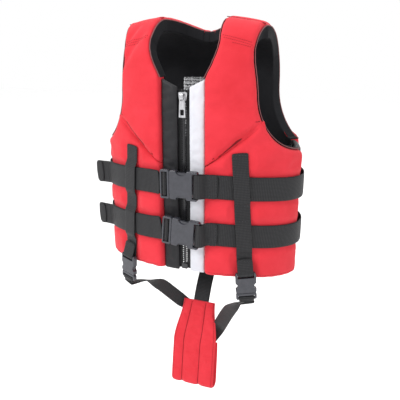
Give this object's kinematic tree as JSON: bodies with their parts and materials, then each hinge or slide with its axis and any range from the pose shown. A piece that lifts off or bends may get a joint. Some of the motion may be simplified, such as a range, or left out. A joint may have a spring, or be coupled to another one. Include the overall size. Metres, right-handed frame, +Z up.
{
  "type": "life jacket",
  "caption": "Child's foam life jacket with a front zip, two buckled waist belts, keeper straps and a padded crotch strap on side-release buckles.",
  "frame": {"origin": "midway between the undersides of the two shoulder straps, where the jacket rests on a wearer or a hanger", "axes": "+Z up, the front faces -Y, the wearer's left is +X"},
  "size_m": [0.3557, 0.2087, 0.6601],
  "materials": {
    "red_shell": "matte",
    "white_shell": "matte",
    "black_shell": "matte",
    "lining": "matte",
    "label": "matte",
    "webbing": "satin",
    "zip_tape": "matte",
    "zip_plastic": "satin",
    "zip_metal": "satin",
    "buckle_plastic": "satin"
  },
  "bodies": {
    "root": {"back_panel": "red_shell", "centre_strip_black": "black_shell", "centre_strip_white": "white_shell", "crotch_back_webbing": "webbing", "crotch_left_buckle_female": "buckle_plastic", "crotch_pad": "red_shell", "crotch_right_buckle_female": "buckle_plastic", "crotch_v_strap_left": "webbing", "crotch_v_strap_right": "webbing", "front_lower_panel_left": "red_shell", "front_lower_panel_right": "red_shell", "front_upper_panel_left": "red_shell", "front_upper_panel_right": "red_shell", "keeper_strap_left": "webbing", "keeper_strap_right": "webbing", "label_patch": "label", "lining_back": "lining", "lining_left": "lining", "lining_right": "lining", "lower_belt": "webbing", "lower_belt_lead": "webbing", "lower_belt_left_end": "webbing", "lower_belt_tail": "webbing", "lower_waist_buckle_female": "buckle_plastic", "shoulder_strap_left": "red_shell", "shoulder_strap_right": "red_shell", "side_panel_left": "black_shell", "side_panel_right": "black_shell", "upper_belt": "webbing", "upper_belt_lead": "webbing", "upper_belt_left_end": "webbing", "upper_belt_tail": "webbing", "upper_waist_buckle_female": "buckle_plastic", "zip_bottom_box": "zip_plastic", "zip_tape_left": "zip_tape", "zip_tape_right": "zip_tape", "zip_teeth_left": "zip_plastic", "zip_teeth_right": "zip_plastic", "zip_top_stops": "zip_plastic"},
    "zip_slider_body": {"zip_slider": "zip_metal"},
    "zip_pull_body": {"zip_pull": "zip_metal"},
    "upper_waist_male_body": {"upper_waist_buckle_male": "buckle_plastic", "upper_belt_fold": "webbing"},
    "upper_waist_prong_a_body": {"upper_waist_buckle_prong_a": "buckle_plastic"},
    "upper_waist_prong_b_body": {"upper_waist_buckle_prong_b": "buckle_plastic"},
    "lower_waist_male_body": {"lower_waist_buckle_male": "buckle_plastic", "lower_belt_fold": "webbing"},
    "lower_waist_prong_a_body": {"lower_waist_buckle_prong_a": "buckle_plastic"},
    "lower_waist_prong_b_body": {"lower_waist_buckle_prong_b": "buckle_plastic"},
    "crotch_left_male_body": {"crotch_left_buckle_male": "buckle_plastic", "crotch_left_loop": "webbing"},
    "crotch_left_prong_a_body": {"crotch_left_buckle_prong_a": "buckle_plastic"},
    "crotch_left_prong_b_body": {"crotch_left_buckle_prong_b": "buckle_plastic"},
    "crotch_right_male_body": {"crotch_right_buckle_male": "buckle_plastic", "crotch_right_loop": "webbing"},
    "crotch_right_prong_a_body": {"crotch_right_buckle_prong_a": "buckle_plastic"},
    "crotch_right_prong_b_body": {"crotch_right_buckle_prong_b": "buckle_plastic"}
  },
  "joints": [
    {"name": "zip_slide", "type": "slide", "parent": "root", "child": "zip_slider_body", "axis": [0, 0, -1], "range_m": [0, 0.258], "deforming": ["zip_teeth_left", "zip_teeth_right"]},
    {"name": "zip_pull_swing", "type": "hinge", "parent": "zip_slider_body", "child": "zip_pull_body", "pos_m": [0, -0.0891, -0.0905], "axis": [-1, 0, 0], "range_deg": [0, 120]},
    {"name": "upper_waist_release", "type": "slide", "parent": "root", "child": "upper_waist_male_body", "axis": [-1, 0, 0], "range_m": [0, 0.034], "deforming": ["upper_belt_lead"]},
    {"name": "upper_waist_prong_a_squeeze", "type": "hinge", "parent": "upper_waist_male_body", "child": "upper_waist_prong_a_body", "pos_m": [-0.0152, -0.1046, -0.21065], "axis": [0, 1, 0], "range_deg": [0, 5], "stiffness_Nm_per_rad": 0.05},
    {"name": "upper_waist_prong_b_squeeze", "type": "hinge", "parent": "upper_waist_male_body", "child": "upper_waist_prong_b_body", "pos_m": [-0.0152, -0.1046, -0.23535], "axis": [0, 1, 0], "range_deg": [-5, 0], "stiffness_Nm_per_rad": 0.05},
    {"name": "lower_waist_release", "type": "slide", "parent": "root", "child": "lower_waist_male_body", "axis": [-0.9976, 0, 0.0698], "range_m": [0, 0.034], "deforming": ["lower_belt_lead"]},
    {"name": "lower_waist_prong_a_squeeze", "type": "hinge", "parent": "lower_waist_male_body", "child": "lower_waist_prong_a_body", "pos_m": [-0.0123, -0.1046, -0.28662], "axis": [0, 1, 0], "range_deg": [0, 5], "stiffness_Nm_per_rad": 0.05},
    {"name": "lower_waist_prong_b_squeeze", "type": "hinge", "parent": "lower_waist_male_body", "child": "lower_waist_prong_b_body", "pos_m": [-0.01402, -0.1046, -0.31126], "axis": [0, 1, 0], "range_deg": [-5, 0], "stiffness_Nm_per_rad": 0.05},
    {"name": "crotch_left_release", "type": "slide", "parent": "root", "child": "crotch_left_male_body", "axis": [0.0577, 0.0247, -0.998], "range_m": [0, 0.022], "deforming": ["crotch_v_strap_left"]},
    {"name": "crotch_left_prong_a_squeeze", "type": "hinge", "parent": "crotch_left_male_body", "child": "crotch_left_prong_a_body", "pos_m": [0.11031, -0.08096, -0.39599], "axis": [0.3933, -0.9194, 0], "range_deg": [0, 5], "stiffness_Nm_per_rad": 0.05},
    {"name": "crotch_left_prong_b_squeeze", "type": "hinge", "parent": "crotch_left_male_body", "child": "crotch_left_prong_b_body", "pos_m": [0.09958, -0.08556, -0.39672], "axis": [0.3933, -0.9194, 0], "range_deg": [-5, 0], "stiffness_Nm_per_rad": 0.05},
    {"name": "crotch_right_release", "type": "slide", "parent": "root", "child": "crotch_right_male_body", "axis": [-0.0577, 0.0247, -0.998], "range_m": [0, 0.022], "deforming": ["crotch_v_strap_right"]},
    {"name": "crotch_right_prong_a_squeeze", "type": "hinge", "parent": "crotch_right_male_body", "child": "crotch_right_prong_a_body", "pos_m": [-0.09958, -0.08556, -0.39672], "axis": [-0.3933, -0.9194, 0], "range_deg": [0, 5], "stiffness_Nm_per_rad": 0.05},
    {"name": "crotch_right_prong_b_squeeze", "type": "hinge", "parent": "crotch_right_male_body", "child": "crotch_right_prong_b_body", "pos_m": [-0.11031, -0.08096, -0.39599], "axis": [-0.3933, -0.9194, 0], "range_deg": [-5, 0], "stiffness_Nm_per_rad": 0.05}
  ],
  "couplings": [
    {"joint": "upper_waist_prong_b_squeeze", "follows": "upper_waist_prong_a_squeeze", "ratio": -1},
    {"joint": "lower_waist_prong_b_squeeze", "follows": "lower_waist_prong_a_squeeze", "ratio": -1},
    {"joint": "crotch_left_prong_b_squeeze", "follows": "crotch_left_prong_a_squeeze", "ratio": -1},
    {"joint": "crotch_right_prong_b_squeeze", "follows": "crotch_right_prong_a_squeeze", "ratio": -1}
  ]
}
